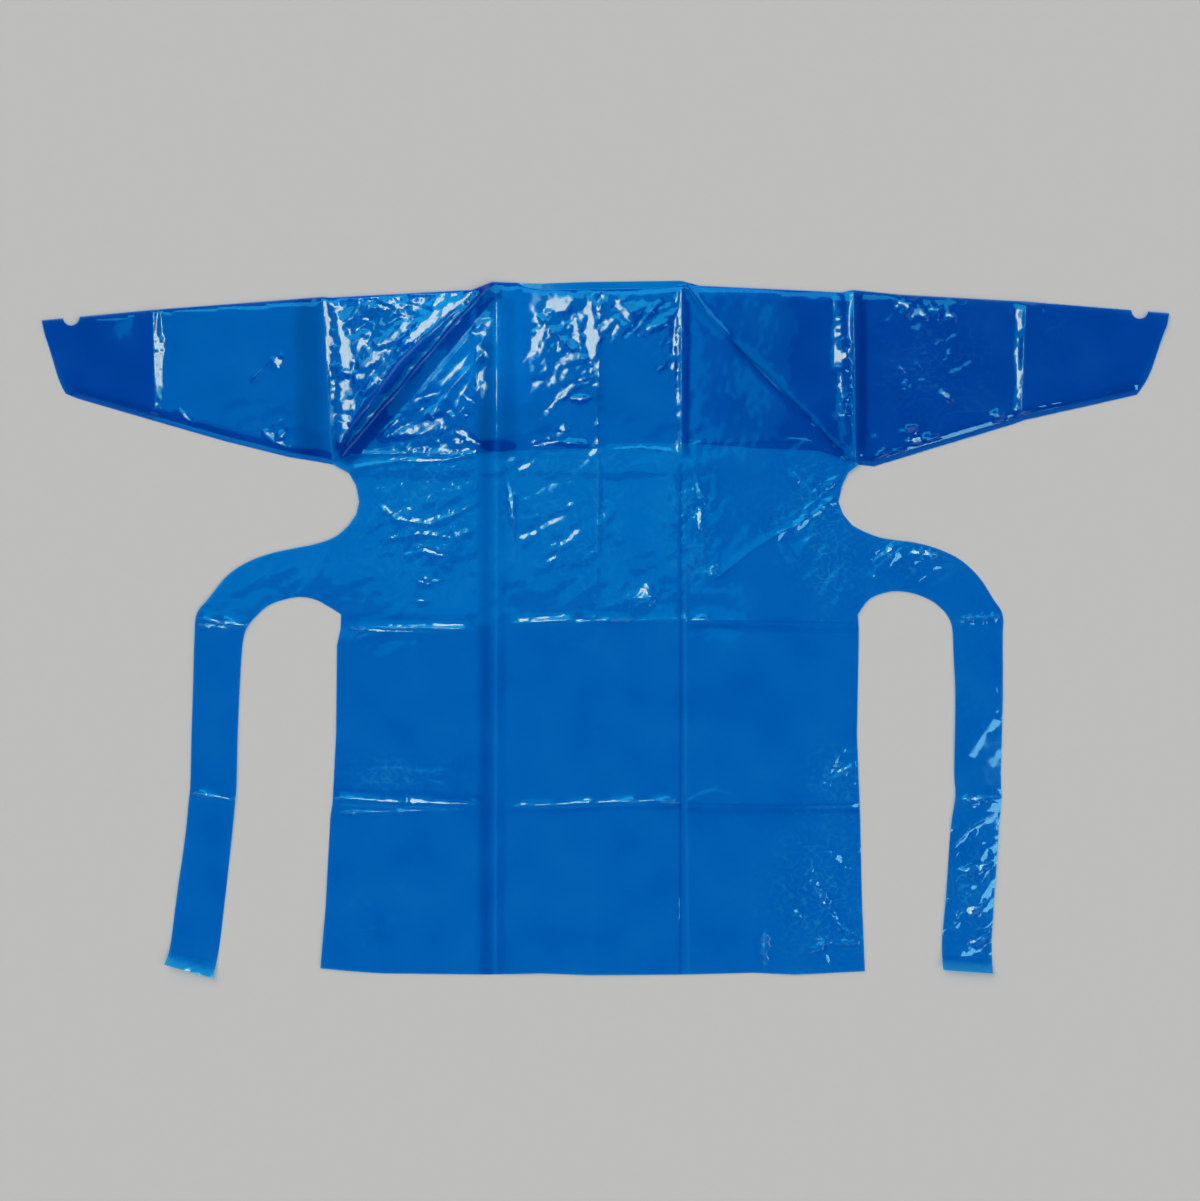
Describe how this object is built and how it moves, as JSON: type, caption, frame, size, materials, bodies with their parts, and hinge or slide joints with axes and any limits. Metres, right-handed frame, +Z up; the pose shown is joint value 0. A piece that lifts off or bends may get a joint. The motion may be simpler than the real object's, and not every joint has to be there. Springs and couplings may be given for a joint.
{
  "type": "isolation gown of plastic film, laid flat",
  "caption": "Protective gown of thin blue film with sleeves that end in thumb holes, a short back yoke and waist ties, laid flat with its front up.",
  "frame": {"origin": "on the surface that the gown lies on, under the middle of its laid outline", "axes": "+X across the gown from one cuff to the other, +Y from the hem towards the neck, +Z up from the surface"},
  "size_m": [1.95, 1.2048, 0.009],
  "materials": {
    "film": "thin translucent blue film, glossy, with pack folds and fine crinkles"
  },
  "bodies": {
    "root": {"front_panel": "film", "back_yoke": "film", "sleeve_left": "film", "sleeve_right": "film", "tie_left": "film", "tie_right": "film"}
  },
  "joints": []
}
